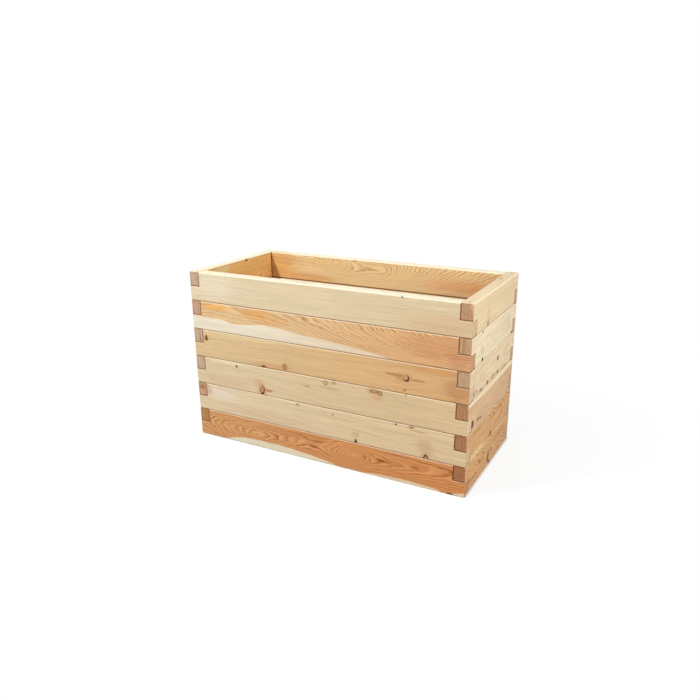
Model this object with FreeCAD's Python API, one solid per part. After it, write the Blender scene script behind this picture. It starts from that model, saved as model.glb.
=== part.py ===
"""Raised garden bed of stacked solid timber boards, half-lapped at the corners and pinned down each corner.

Six courses lie on each other. A course is a front and a back board, whose ends are cut away in their
upper half, and a left and a right board, whose ends are cut away in their lower half. At each corner
the finger of the side board lies over the finger of the long board, so both reach the outside and
show their end grain there. A plain steel pin drops through all twelve fingers of a corner.

Frame: millimetres, +Z up, +X along the front from left to right, +Y from front to back. The origin
is the middle of the footprint, on the ground.
"""

import FreeCAD, Part
import math
import os

# Driving dimensions
BED_LENGTH = 1000.0  # outside, along X
BED_WIDTH = 470.0  # outside, along Y
COURSES = 6
BOARD_HEIGHT = 100.0  # planed height of a board, which is one course
BOARD_THICKNESS = 38.0
EDGE_ROUND = 2.5  # radius of the four eased long edges
SHOULDER_GAP = 0.5  # between a finger's side and the shoulder beside it
LAP_GAP = 0.6  # between the finger of a side board and the one under it
END_INSET = 0.5  # how far a finger's end stays inside the face that it shows in
PIN_DIAMETER = 8.0
PIN_HOLE_DIAMETER = 8.5
PIN_BELOW_RIM = 7.0  # from the bed's top edge down to the pin's upper end
PIN_END_CHAMFER = 1.0
SAW_OVERRUN = 1.0  # how far a cut runs on past the board's edge

# Derived sizes
BED_HEIGHT = COURSES * BOARD_HEIGHT
NOTCH_DEPTH = BOARD_THICKNESS + SHOULDER_GAP  # from the bed's outside face to the shoulder
FINGER_HEIGHT = (BOARD_HEIGHT - LAP_GAP) / 2
PIN_LENGTH = BED_HEIGHT - PIN_BELOW_RIM
PIN_X = (BED_LENGTH - BOARD_THICKNESS) / 2
PIN_Y = (BED_WIDTH - BOARD_THICKNESS) / 2

X_AXIS = FreeCAD.Vector(1, 0, 0)
Z_AXIS = FreeCAD.Vector(0, 0, 1)
ORIGIN = FreeCAD.Vector(0, 0, 0)


def eased_section():
    """Face of a board's cross-section in the YZ plane, standing on Z = 0, its four corners rounded."""
    half, top, r = BOARD_THICKNESS / 2, BOARD_HEIGHT, EDGE_ROUND
    corners = [(-half, 0, 225), (half, 0, 315), (half, top, 45), (-half, top, 135)]
    arcs = []
    for y, z, outward in corners:
        centre = FreeCAD.Vector(0, y - math.copysign(r, y), z + (r if z == 0 else -r))
        rim = [
            centre + FreeCAD.Vector(0, r * math.cos(math.radians(a)), r * math.sin(math.radians(a)))
            for a in (outward - 45, outward, outward + 45)
        ]
        arcs.append(Part.Arc(*rim).toShape())
    edges = []
    for arc, following in zip(arcs, arcs[1:] + arcs[:1]):
        edges.append(arc)
        edges.append(Part.makeLine(arc.lastVertex().Point, following.firstVertex().Point))
    return Part.Face(Part.Wire(edges))


def eased_board(outside_length):
    """Whole planed board along X, standing on Z = 0, short of the outside length by the end insets."""
    length = outside_length - 2 * END_INSET
    board = eased_section().extrude(X_AXIS * length)
    board.translate(X_AXIS * (-length / 2))
    return board


def end_notches(outside_length, bottom, top):
    """The two blocks that are sawn out of a board's ends, between two heights."""
    inner_x = outside_length / 2 - NOTCH_DEPTH
    blocks = []
    for inner_corner_x in (inner_x, -inner_x - 2 * NOTCH_DEPTH):
        corner = FreeCAD.Vector(inner_corner_x, -BOARD_THICKNESS, bottom)
        blocks.append(Part.makeBox(2 * NOTCH_DEPTH, 2 * BOARD_THICKNESS, top - bottom, corner))
    return blocks


def pin_holes(outside_length):
    """The two upright drillings through a board's fingers."""
    reach = (outside_length - BOARD_THICKNESS) / 2
    return [
        Part.makeCylinder(PIN_HOLE_DIAMETER / 2, BOARD_HEIGHT, FreeCAD.Vector(x, 0, 0), Z_AXIS)
        for x in (-reach, reach)
    ]


def long_board():
    """Front or back board: the lower half of each end stays, as the finger that is lapped over."""
    notches = end_notches(BED_LENGTH, FINGER_HEIGHT, BOARD_HEIGHT + SAW_OVERRUN)
    return eased_board(BED_LENGTH).cut(notches).cut(pin_holes(BED_LENGTH))


def side_board():
    """Left or right board, turned to run along Y: the upper half of each end stays, as the lapping finger."""
    notches = end_notches(BED_WIDTH, -SAW_OVERRUN, BOARD_HEIGHT - FINGER_HEIGHT)
    board = eased_board(BED_WIDTH).cut(notches).cut(pin_holes(BED_WIDTH))
    board.rotate(ORIGIN, Z_AXIS, 90)
    return board


def corner_pin():
    """Steel pin standing on the ground, with both ends chamfered."""
    radius, length, chamfer = PIN_DIAMETER / 2, PIN_LENGTH, PIN_END_CHAMFER
    outline = [
        (0, 0),
        (radius - chamfer, 0),
        (radius, chamfer),
        (radius, length - chamfer),
        (radius - chamfer, length),
        (0, length),
        (0, 0),
    ]
    profile = Part.makePolygon([FreeCAD.Vector(r, 0, z) for r, z in outline])
    return Part.Face(profile).revolve(ORIGIN, Z_AXIS, 360)


def placed(shape, x, y, z):
    """A copy of a shape, moved from the origin to a place."""
    copy = shape.copy()
    copy.translate(FreeCAD.Vector(x, y, z))
    return copy


def bed_parts():
    """Every piece of the bed by its name. Courses count from the ground up."""
    boards = {
        "front_board": (long_board(), 0, -PIN_Y),
        "back_board": (long_board(), 0, PIN_Y),
        "left_board": (side_board(), -PIN_X, 0),
        "right_board": (side_board(), PIN_X, 0),
    }
    parts = {}
    for course in range(1, COURSES + 1):
        for name, (shape, x, y) in boards.items():
            parts[f"{name}_{course}"] = placed(shape, x, y, (course - 1) * BOARD_HEIGHT)
    for depth_name, y in (("front", -PIN_Y), ("back", PIN_Y)):
        for side_name, x in (("left", -PIN_X), ("right", PIN_X)):
            parts[f"corner_pin_{depth_name}_{side_name}"] = placed(corner_pin(), x, y, 0)
    return parts


def main():
    os.makedirs("parts", exist_ok=True)
    parts = bed_parts()
    for name, shape in parts.items():
        solid = shape.Solids[0]
        assert len(shape.Solids) == 1 and solid.isValid() and solid.Volume > 0, name
        solid.exportStep(f"parts/{name}.step")
    print(f"{len(parts)} parts, {BED_LENGTH:g} x {BED_WIDTH:g} x {BED_HEIGHT:g} mm")


main()
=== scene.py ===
# %% [markdown]
# # A raised garden bed of half-lapped timber boards
#
# The real bed is a stack of planed softwood boards, six to a wall, with nothing painted on them. So the
# whole look is the wood: where the heart of each log lay, how its rings run out in the faces, where the
# pale sapwood begins, and where a branch has left a knot. The shapes are right in the frame already. This
# lesson therefore keeps the frame's boards and spends its effort on one solid-wood finish, in which each
# board gets a log of its own.

import math
from dataclasses import dataclass

import bpy
from mathutils import Matrix, Vector


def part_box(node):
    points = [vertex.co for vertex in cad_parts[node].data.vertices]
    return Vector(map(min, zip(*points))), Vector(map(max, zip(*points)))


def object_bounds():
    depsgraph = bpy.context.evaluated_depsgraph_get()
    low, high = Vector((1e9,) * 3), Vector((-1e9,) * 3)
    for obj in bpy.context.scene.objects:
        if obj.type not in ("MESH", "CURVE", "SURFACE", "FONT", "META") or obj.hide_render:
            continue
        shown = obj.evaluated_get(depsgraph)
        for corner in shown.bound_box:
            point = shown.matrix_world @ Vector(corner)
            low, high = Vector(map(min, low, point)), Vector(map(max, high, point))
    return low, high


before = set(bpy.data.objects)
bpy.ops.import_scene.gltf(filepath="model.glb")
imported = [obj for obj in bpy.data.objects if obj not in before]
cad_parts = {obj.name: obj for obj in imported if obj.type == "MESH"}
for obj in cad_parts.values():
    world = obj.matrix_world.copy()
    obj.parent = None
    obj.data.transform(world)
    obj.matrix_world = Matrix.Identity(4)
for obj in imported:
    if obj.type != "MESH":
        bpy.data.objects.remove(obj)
cad_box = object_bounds()
print("nodes:", len(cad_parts), "bed box in m:", [[round(c, 3) for c in corner] for corner in cad_box])

# %% [markdown]
# ## The camera
#
# A camera can be turned by eye until the picture looks right, but small errors then hide in every
# proportion. Here its place, turn and focal length come from matching the bed's corners and joint lines,
# so that the line between two boards falls where the photograph has it. The slight roll is real as well.

# %% Camera
CAMERA_PLACE = (1.040, -1.961, 1.060)  # metres
CAMERA_TURN = math.radians(28.17)  # to the left of straight ahead
CAMERA_DIP = math.radians(18.33)  # below the horizon
CAMERA_ROLL = math.radians(-0.38)
SENSOR_WIDTH = 36.0  # mm
FOCAL_LENGTH = 34.57  # mm

camera_data = bpy.data.cameras.new("camera")
camera_data.sensor_width = SENSOR_WIDTH
camera_data.lens = FOCAL_LENGTH
camera = bpy.data.objects.new("camera", camera_data)
camera.matrix_world = (
    Matrix.Translation(CAMERA_PLACE)
    @ Matrix.Rotation(CAMERA_TURN, 4, "Z")
    @ Matrix.Rotation(math.pi / 2 - CAMERA_DIP, 4, "X")
    @ Matrix.Rotation(CAMERA_ROLL, 4, "Z")
)
bpy.context.scene.collection.objects.link(camera)
bpy.context.scene.camera = camera
print("camera at", [round(c, 3) for c in camera.matrix_world.translation])

# %% [markdown]
# ## Writing a finish a line at a time
#
# A finish in Blender is a drawing of boxes and wires. In code it reads better as sums, so this small class
# adds one node a call and hands back its output. A value that is given is either a number, which is set on
# the socket, or another node's output, which is wired to it. A cloud is noise between 0 and 1 that is seldom
# far from its middle, so two of its values close together pick out its hills or its valleys.

# %% A helper that writes finishes
CLOUD_MIDDLE = 0.5


class Finish:
    """Adds nodes to one node tree, and returns their outputs."""

    def __init__(self, wiring):
        self.wiring = wiring

    def feed(self, socket, value):
        """Wires an output to the socket, or sets the socket to a number or colour."""
        if isinstance(value, bpy.types.NodeSocket):
            self.wiring.links.new(value, socket)
        else:
            socket.default_value = value

    def node(self, kind, values=(), **settings):
        """A new node, with its settings, and its inputs fed by name or number."""
        made = self.wiring.nodes.new(kind)
        for name, setting in settings.items():
            setattr(made, name, setting)
        for name, value in dict(values).items():
            self.feed(made.inputs[name], value)
        return made

    def effect(self, name, values):
        """Places a shared effect and feeds it. Returns its outputs by name."""
        return self.node("ShaderNodeGroup", values, node_tree=bpy.data.node_groups[name]).outputs

    def math(self, operation, *values, clamp=False):
        """Arithmetic on one number for each point of the surface."""
        made = self.node("ShaderNodeMath", enumerate(values), operation=operation, use_clamp=clamp)
        return made.outputs[0]

    def product(self, first, *others):
        """Several masks multiplied."""
        for other in others:
            first = self.math("MULTIPLY", first, other)
        return first

    def most(self, first, *others):
        """The largest of several masks."""
        for other in others:
            first = self.math("MAXIMUM", first, other)
        return first

    def vector(self, operation, *values):
        """Arithmetic on a vector. LENGTH and DOT_PRODUCT give back a number."""
        made = self.node("ShaderNodeVectorMath", enumerate(values), operation=operation)
        return made.outputs["Value" if operation in ("LENGTH", "DOT_PRODUCT") else "Vector"]

    def split(self, vector):
        """The three parts of a vector."""
        return self.node("ShaderNodeSeparateXYZ", {"Vector": vector}).outputs[:3]

    def join(self, x, y, z):
        """A vector of three parts."""
        return self.node("ShaderNodeCombineXYZ", {"X": x, "Y": y, "Z": z}).outputs[0]

    def ramp(self, value, start, end, low=0.0, high=1.0, shape="SMOOTHSTEP"):
        """A number that goes from low to high while value goes from start to end."""
        values = {"Value": value, "From Min": start, "From Max": end, "To Min": low, "To Max": high}
        return self.node("ShaderNodeMapRange", values, interpolation_type=shape).outputs["Result"]

    def fade(self, value, start, end):
        """1 up to the start and 0 past the end."""
        return self.ramp(value, start, end, 1.0, 0.0)

    def between(self, share, first, second):
        """The first number at share 0, the second at share 1, and in proportion between them."""
        return self.ramp(share, 0.0, 1.0, first, second, shape="LINEAR")

    def mix(self, share, first, second, blend="MIX"):
        """A colour that is the first at share 0 and the second at share 1."""
        made = self.node("ShaderNodeMix", data_type="RGBA", blend_type=blend, clamp_factor=True)
        colour_inputs = [socket for socket in made.inputs if socket.type == "RGBA"]
        self.feed(made.inputs[0], share)
        self.feed(colour_inputs[0], first)
        self.feed(colour_inputs[1], second)
        return next(socket for socket in made.outputs if socket.type == "RGBA")

    def cloud(self, point, size, detail=2.0, roughness=0.5, output="Fac"):
        """Cloudy noise, 0 to 1. Its clouds measure about size = (along, through, up) in mm."""
        values = {"Vector": self.vector("DIVIDE", point, size), "Scale": 1.0, "Detail": detail,
                  "Roughness": roughness}
        return self.node("ShaderNodeTexNoise", values).outputs[output]

    def wobble(self, point, size):
        """Cloudy noise about zero, which makes an outline ragged."""
        return self.math("SUBTRACT", self.cloud(point, size), CLOUD_MIDDLE)


print("finish helper ready")

# %% [markdown]
# An effect that many boards share is made once, as a group with named inputs and outputs. A colour is
# written as a paint code, because that is how it is read off a swatch, and turned into the linear values
# that light works in.

# %% Shared effects and paint codes
MADE_EFFECTS = []


def new_effect(name, inputs, outputs):
    """A new shared effect: its writer, its inputs by name and its result sockets by name."""
    group = bpy.data.node_groups.new(name, "ShaderNodeTree")
    for label, kind, start in inputs:
        socket = group.interface.new_socket(label, in_out="INPUT", socket_type="NodeSocket" + kind)
        socket.default_value = start
    for label, kind in outputs:
        group.interface.new_socket(label, in_out="OUTPUT", socket_type="NodeSocket" + kind)
    look = Finish(group)
    MADE_EFFECTS.append(name)
    return look, look.node("NodeGroupInput").outputs, look.node("NodeGroupOutput").inputs


def paint(code):
    """A colour as light sees it, linear and with alpha, from a paint code such as E8D5AE."""
    parts = [int(code[start : start + 2], 16) / 255 for start in (0, 2, 4)]
    return tuple(c / 12.92 if c <= 0.04045 else ((c + 0.055) / 1.055) ** 2.4 for c in parts) + (1.0,)


print("cream in linear light:", [round(c, 3) for c in paint("E8D5AE")])

# %% [markdown]
# ## The board's own frame
#
# Every effect below works in millimetres in a frame that each board carries with it: X runs along the
# grain, to the right as one looks at the outside face, Y goes in through the thickness, and Z goes up.
# A picture that is wrapped on would break at each edge. A solid finish, worked out at each point in space,
# runs on over the edges, so that a line on a face meets its own ring in the end grain.

# %% Sizes of a board, from the frame
MM = 1000.0
sample_low, sample_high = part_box("front_board_6")
BOARD_THICKNESS = (sample_high.y - sample_low.y) * MM
BOARD_HEIGHT = (sample_high.z - sample_low.z) * MM
INNER_FACE = BOARD_THICKNESS / 2  # Y in the board's frame
OUTER_FACE = -INNER_FACE
FACE_TOP = BOARD_HEIGHT / 2
ORIGIN = (0.0, 0.0, 0.0)
print("board section in mm:", round(BOARD_THICKNESS, 1), "x", round(BOARD_HEIGHT, 1))

# %% [markdown]
# ## Growth rings
#
# A log is a bundle of cones round its pith, one for each year. A board is a flat cut through them, so the
# figure in its face is drawn by one number: how far a point lies from the pith. Where the pith runs level
# behind the face the rings show as straight lines. Where it comes nearer or dives, they close into arches
# and ovals. Each ring starts with a very pale spring line and ends in a dark line of latewood with a sharp
# outer edge. Some years were better than others, so their lines differ in width and strength.

# %% Effect: growth rings
WANDER_CELL = (170, 90, 45)  # mm: the log's slow bends
WIDTH_CELL, WIDTH_YEARS = (240, 45, 45), 2.2  # mm: where its years are wide or narrow, and by how many
RIPPLE_CELL, RIPPLE_YEARS = (40, 7, 7), 0.8  # mm: small waves in the rings, and how many years deep
PATCH_CELL, PATCH_SPAN = (130, 22, 12), (0.35, 0.65)  # mm: where the lines stand out or fade
WEAKEST_YEAR, WEAKEST_PATCH = 0.3, 0.55  # of a line's full strength
LATE_START, LATE_FULL, LATE_EDGE = 0.45, 0.92, 0.93  # of a year: the dark line grows, and then stops
SPRING_FULL, SPRING_EASE, SPRING_END = 0.06, 0.12, 0.42  # of a year: the pale line starts, and fades
YEARS_TO_A_BAND = 5.0
SEED_STEP = 371.0  # mm along the same endless wood, from one board's piece of it to the next


def own_wood(look, given):
    """The point, moved along to the board's own piece of the endless wood."""
    step = look.math("MULTIPLY", given["Seed"], SEED_STEP)
    return look.vector("ADD", given["Point"], look.join(step, 0, 0))


look, given, result = new_effect(
    "growth rings",
    [("Point", "Vector", ORIGIN), ("Pith height", "Float", 0), ("Pith depth", "Float", 60),
     ("Ring width", "Float", 3), ("Wander", "Float", 6), ("Seed", "Float", 0)],
    [("Latewood", "Float"), ("Spring", "Float"), ("Tone", "Float")],
)
seeded = own_wood(look, given)
bend = look.vector("SUBTRACT", look.cloud(seeded, WANDER_CELL, output="Color"), (CLOUD_MIDDLE,) * 3)
_, bend_through, bend_up = look.split(bend)
_, through, up = look.split(given["Point"])
pith_through = look.math("ADD", given["Pith depth"], OUTER_FACE)
aside = look.math("MULTIPLY_ADD", bend_through, given["Wander"], look.math("SUBTRACT", through, pith_through))
above = look.math("MULTIPLY_ADD", bend_up, given["Wander"], look.math("SUBTRACT", up, given["Pith height"]))
radius = look.vector("LENGTH", look.join(0, aside, above))
years = look.math("DIVIDE", radius, given["Ring width"])
for cell, most_years in ((WIDTH_CELL, WIDTH_YEARS), (RIPPLE_CELL, RIPPLE_YEARS)):
    years = look.math("MULTIPLY_ADD", look.cloud(seeded, cell, detail=1.0), most_years, years)
season = look.math("FRACT", years)
this_year = look.math("FLOOR", years)
luck = look.node("ShaderNodeTexWhiteNoise", {"W": this_year}, noise_dimensions="1D").outputs["Value"]
strength = look.product(
    look.between(luck, WEAKEST_YEAR, 1.0),
    look.ramp(look.cloud(seeded, PATCH_CELL), *PATCH_SPAN, WEAKEST_PATCH, 1.0),
)
late = look.product(look.ramp(season, LATE_START, LATE_FULL), look.fade(season, LATE_EDGE, 1.0), strength)
spring = look.product(
    look.ramp(season, 0.0, SPRING_FULL), look.fade(season, SPRING_EASE, SPRING_END), strength
)
band_place = look.math("DIVIDE", years, YEARS_TO_A_BAND)
band = look.node("ShaderNodeTexNoise", {"W": band_place, "Scale": 1.0, "Detail": 1.0}, noise_dimensions="1D")
look.feed(result["Latewood"], late)
look.feed(result["Spring"], spring)
look.feed(result["Tone"], band.outputs["Fac"])
print("effect growth rings:", len(look.wiring.nodes), "nodes")

# %% [markdown]
# ## Grain that flows round a knot
#
# A knot is a branch, and the trunk's grain parts to go round it, as water does round a post. The formula
# for water round a post serves here too: close to the knot a point borrows the grain from nearer the
# knot's middle line, and far from it the grain is left alone. This has to happen before the rings are
# worked out, so the effect gives how far up or down each point has to look.

# %% Effect: grain round a knot
FLOW_WIDTH = 0.6  # in squared knot sizes: a larger one lets the grain feel the knot from further off


def from_place(look, given):
    """The way from an effect's place to the point, in mm and in the effect's own sizes."""
    offset = look.vector("SUBTRACT", given["Point"], given["Place"])
    return offset, look.vector("DIVIDE", offset, given["Size"])


look, given, result = new_effect(
    "grain round a knot",
    [("Point", "Vector", ORIGIN), ("Place", "Vector", ORIGIN), ("Size", "Vector", (10, 90, 10))],
    [("Lift", "Float")],
)
offset, scaled = from_place(look, given)
squared = look.vector("DOT_PRODUCT", scaled, scaled)
past_rim = look.math("SUBTRACT", squared, 1.0)
kept = look.math("DIVIDE", past_rim, look.math("ADD", squared, FLOW_WIDTH), clamp=True)
look.feed(result["Lift"], look.math("MULTIPLY", look.split(offset)[2], look.math("SUBTRACT", kept, 1.0)))
print("effect grain round a knot:", len(look.wiring.nodes), "nodes")

# %% [markdown]
# ## The knot itself
#
# A knot from a living branch has grown together with the wood: it is a warm patch with small rings. One
# from a dead branch has a rim of dark bark, often thick on one side and broken on the other. Both leave a
# warm stain that reaches further along the grain than across. One effect covers them all, with a share
# for the body, the rim and the stain. The outline is never a true ellipse, so a little noise pushes it.
# Distances are counted in knot sizes: 1 is the knot's edge.

# %% Effect: knot
WHITE = paint("FFFFFF")
OUTLINE_CELL = (5, 5, 5)  # mm
OUTLINE_RAGGED, INNER_RAGGED, HALO_RAGGED = 0.5, 0.7, 0.6
BARK_CELL, BARK_SPAN = (3, 3, 3), (0.3, 0.55)  # mm: where the bark is whole or broken
BROKEN_BARK = 0.45  # of its full strength
HALO_REACH = (3.2, 1, 2.0)  # times the knot's size
HEAVY_SHIFT = 0.3  # how far the rim's inner edge moves away from its heavy side
BODY_FADE = (0.85, 1.08)
RIM_START, RIM_FADE = (0.7, 0.9), (1.0, 1.14)
HALO_FADE = (0.1, 1.0)
PITH_REACH, PITH_DARK, BODY_DARK = 0.35, 0.55, 0.2  # how much of the bark's colour is in the body
KNOT_RING_PACE, KNOT_RING_DARK = 17.0, 0.14  # radians to a knot size, and how much they add

look, given, result = new_effect(
    "knot",
    [("Color", "Color", WHITE), ("Point", "Vector", ORIGIN), ("Place", "Vector", ORIGIN),
     ("Size", "Vector", (10, 90, 10)), ("Heavy side", "Vector", ORIGIN), ("Core", "Color", WHITE),
     ("Bark", "Color", WHITE), ("Halo", "Color", WHITE), ("Body share", "Float", 0.7),
     ("Rim share", "Float", 0.8), ("Halo share", "Float", 0.5), ("Mask", "Float", 0)],
    [("Color", "Color"), ("Mask", "Float")],
)
_, scaled = from_place(look, given)
uneven = look.wobble(given["Point"], OUTLINE_CELL)
shift = look.vector("MULTIPLY", given["Heavy side"], (HEAVY_SHIFT,) * 3)
distance, inner_distance, halo_distance = (
    look.math("MULTIPLY_ADD", uneven, ragged, look.vector("LENGTH", way))
    for way, ragged in (
        (scaled, OUTLINE_RAGGED),
        (look.vector("ADD", scaled, shift), INNER_RAGGED),
        (look.vector("DIVIDE", scaled, HALO_REACH), HALO_RAGGED),
    )
)

body = look.product(look.fade(distance, *BODY_FADE), given["Body share"])
small_rings = look.math("SINE", look.math("MULTIPLY", distance, KNOT_RING_PACE))
shade = look.ramp(distance, 0.0, PITH_REACH, PITH_DARK, BODY_DARK)
shade = look.math("MULTIPLY_ADD", small_rings, KNOT_RING_DARK, shade)
bark_luck = look.ramp(look.cloud(given["Point"], BARK_CELL, detail=1.0), *BARK_SPAN, BROKEN_BARK, 1.0)
rim = look.product(
    look.ramp(inner_distance, *RIM_START), look.fade(distance, *RIM_FADE), bark_luck, given["Rim share"]
)
halo = look.product(look.fade(halo_distance, *HALO_FADE), given["Halo share"])
colour = look.mix(halo, given["Color"], given["Halo"])
colour = look.mix(body, colour, look.mix(shade, given["Core"], given["Bark"]))
look.feed(result["Color"], look.mix(rim, colour, given["Bark"]))
look.feed(result["Mask"], look.most(given["Mask"], body, rim))
print("effect knot:", len(look.wiring.nodes), "nodes")

# %% [markdown]
# ## Sapwood and stains
#
# The outer years of a trunk are sapwood, nearly white beside the heart. The border between them is the
# first thing the eye picks out, so each board draws its own, as a line along the face and a slant through
# the thickness. Stains are soft patches, such as resin, drawn out along the grain.

# %% Effect: sapwood
SAP_RAGGED_CELL, SAP_RAGGED = (26, 4, 2.5), 5.0  # mm
SAP_SOFTNESS = 1.6  # mm, half the width of the change

look, given, result = new_effect(
    "sapwood",
    [("Point", "Vector", ORIGIN), ("Border height", "Float", 0), ("Slant", "Float", 0.45),
     ("Side", "Float", 1)],
    [("Share", "Float")],
)
_, through, up = look.split(given["Point"])
from_outside = look.math("SUBTRACT", through, OUTER_FACE)
border = look.math("MULTIPLY_ADD", from_outside, given["Slant"], given["Border height"])
border = look.math("MULTIPLY_ADD", look.wobble(given["Point"], SAP_RAGGED_CELL), SAP_RAGGED, border)
past = look.math("MULTIPLY", look.math("SUBTRACT", up, border), given["Side"])
look.feed(result["Share"], look.ramp(past, -SAP_SOFTNESS, SAP_SOFTNESS))
print("effect sapwood:", len(look.wiring.nodes), "nodes")

# %% Effect: stain
STAIN_CELL, STAIN_RAGGED = (34, 6, 4), 0.9  # mm, and in stain sizes
STAIN_FADE = (0.3, 1.1)  # in stain sizes

look, given, result = new_effect(
    "stain",
    [("Color", "Color", WHITE), ("Point", "Vector", ORIGIN), ("Place", "Vector", ORIGIN),
     ("Size", "Vector", (10, 16, 10)), ("Tint", "Color", WHITE), ("Stain share", "Float", 0.5)],
    [("Color", "Color")],
)
_, scaled = from_place(look, given)
uneven = look.wobble(given["Point"], STAIN_CELL)
distance = look.math("MULTIPLY_ADD", uneven, STAIN_RAGGED, look.vector("LENGTH", scaled))
share = look.product(look.fade(distance, *STAIN_FADE), given["Stain share"])
look.feed(result["Color"], look.mix(share, given["Color"], given["Tint"]))
print("effect stain:", len(look.wiring.nodes), "nodes")

# %% [markdown]
# ## Fibre
#
# Under the rings lies what all of this wood has: a fine streak along the grain, slow clouds of tone, and
# the short dark dashes of cut resin ducts. A noise that is stretched along the grain gives each of them.

# %% Effect: fibre
STREAK_CELL = (100, 4.0, 4.0)  # mm: the widest streaks, which the finer ones break up
CLOUD_CELL = (260, 40, 16)  # mm
DUCT_CELL, DUCT_SPAN = (9, 0.55, 0.55), (0.7, 0.82)  # mm: only the noise's peaks are ducts

look, given, result = new_effect(
    "fibre",
    [("Point", "Vector", ORIGIN), ("Seed", "Float", 0)],
    [("Streak", "Float"), ("Cloud", "Float"), ("Duct", "Float")],
)
seeded = own_wood(look, given)
look.feed(result["Streak"], look.cloud(seeded, STREAK_CELL, detail=4.0, roughness=0.65))
look.feed(result["Cloud"], look.cloud(seeded, CLOUD_CELL))
look.feed(result["Duct"], look.ramp(look.cloud(seeded, DUCT_CELL, detail=0.0), *DUCT_SPAN))
print("effect fibre:", len(look.wiring.nodes), "nodes")

# %% [markdown]
# ## End grain, eased edges and joints
#
# Where a board is sawn across, the open ends of its fibres swallow light, so end grain is darker and
# redder than the face beside it, and the saw leaves fine upright marks. The four long edges have been
# eased with a small round, where the wood is a touch paler and picks up little nicks, and the upper ones
# carry a painted highlight as well, for the light from above. In the joints the gaps are under a
# millimetre wide and light hardly gets in. That shade is painted: a thin dark outline round each finger's
# end grain, between the courses and in the inner corners, with a painted highlight on the arris beside
# each lap.

# %% Effect: end grain
SAW_CELL = (1000, 2.2, 40)  # mm
END_SPAN = (0.6, 0.85)  # how squarely a surface crosses the grain, where it starts to be an end and is one

look, given, result = new_effect(
    "end grain",
    [("Point", "Vector", ORIGIN), ("Normal", "Vector", (0, 0, 1)), ("Grain", "Vector", (1, 0, 0))],
    [("Share", "Float"), ("Saw", "Float")],
)
facing = look.math("ABSOLUTE", look.vector("DOT_PRODUCT", given["Normal"], given["Grain"]))
look.feed(result["Share"], look.ramp(facing, *END_SPAN))
look.feed(result["Saw"], look.cloud(given["Point"], SAW_CELL))
print("effect end grain:", len(look.wiring.nodes), "nodes")

# %% Effect: eased edge
NICK_CELL, NICK_SPAN = (14, 3, 3), (0.64, 0.74)  # mm: only the noise's hills are nicks
EASED_RADIUS = 2.5  # mm, of the four long edges
EASED_START, EASED_FULL = 2.0 * EASED_RADIUS, 0.3 * EASED_RADIUS  # mm in from the sharp edge
# The upper edges are paler than the lower ones, partly as freshly planed wood and partly as a painted
# highlight for the light from above.
LOWER_EDGE_PALE, UPPER_EDGE_PALE_AND_HIGHLIGHT = 0.12, 0.45  # how pale the eased wood is, 0 to 1
MIDDLE_BAND = 1.0  # mm each side of mid-height, in which the one changes into the other

look, given, result = new_effect(
    "eased edge",
    [("Point", "Vector", ORIGIN)],
    [("Pale and highlight", "Float"), ("Nick", "Float")],
)
height = look.split(given["Point"])[2]
_, through, up = look.split(look.vector("ABSOLUTE", given["Point"]))
share = look.product(
    look.ramp(through, INNER_FACE - EASED_START, INNER_FACE - EASED_FULL),
    look.ramp(up, FACE_TOP - EASED_START, FACE_TOP - EASED_FULL),
)
pale = look.ramp(height, -MIDDLE_BAND, MIDDLE_BAND, LOWER_EDGE_PALE, UPPER_EDGE_PALE_AND_HIGHLIGHT)
look.feed(result["Pale and highlight"], look.product(share, pale))
nick = look.ramp(look.cloud(given["Point"], NICK_CELL), *NICK_SPAN)
look.feed(result["Nick"], look.product(share, nick))
print("effect eased edge:", len(look.wiring.nodes), "nodes")

# %% Effect: joint shade
# Painted shade: this effect darkens the wood in the grooves between courses, under each board's upper edge,
# in the inner corners and round the fingers' end grain, where the joints lie in shade.
GROOVE_DARK, GROOVE_CLEAR = 0.8, 4.4  # mm above a board's lower edge, where it meets the board below
INSIDE_DARK, INSIDE_CLEAR = 3.6, 7.0  # the same inside the bed, where less light gets in
INSIDE_DEPTH = 2.0  # mm under the inner face, where the inside's shade is full
LID_DARK, LID_CLEAR = 0.4, 2.0  # mm below a board's upper edge, where the board above lies on it
FINGER_DARK, FINGER_CLEAR = 1.0, 4.5  # mm from the edge of a finger's end grain
# Painted highlight on the arris beside each lap, where it catches the light.
ARRIS_NEAR, ARRIS_FAR = 1.0, 4.0  # mm from the lap, on the long face of a finger
CORNER_DARK, CORNER_CLEAR = 0.5, 3.6  # mm from an inner corner of the bed
CORNER_START, CORNER_FULL = 1.5, 0.5  # mm under the inner face, on which that corner shows
LAP_HALF_GAP = 0.3  # mm

look, given, result = new_effect(
    "joint shade",
    [("Point", "Vector", ORIGIN), ("Shoulder", "Float", 459), ("Cut side", "Float", 1),
     ("End face", "Float", 0), ("Finger share", "Float", 1), ("Groove share", "Float", 1),
     ("Lid share", "Float", 1)],
    [("Share", "Float"), ("Arris highlight", "Float")],
)
along, through, up = look.split(given["Point"])
past_shoulder = look.math("SUBTRACT", look.math("ABSOLUTE", along), given["Shoulder"])
from_lap = look.math("ABSOLUTE", look.math("MULTIPLY_ADD", up, given["Cut side"], LAP_HALF_GAP))
long_face = look.math("SUBTRACT", 1.0, given["End face"])
finger_edge = look.most(
    look.fade(from_lap, FINGER_DARK, FINGER_CLEAR),
    look.ramp(through, INNER_FACE - FINGER_CLEAR, INNER_FACE - FINGER_DARK),
)
finger_edge = look.product(finger_edge, given["End face"], given["Finger share"])
inner_corner = look.product(
    look.fade(look.math("ABSOLUTE", past_shoulder), CORNER_DARK, CORNER_CLEAR),
    look.ramp(through, INNER_FACE - CORNER_START, INNER_FACE - CORNER_FULL), long_face,
)
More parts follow.
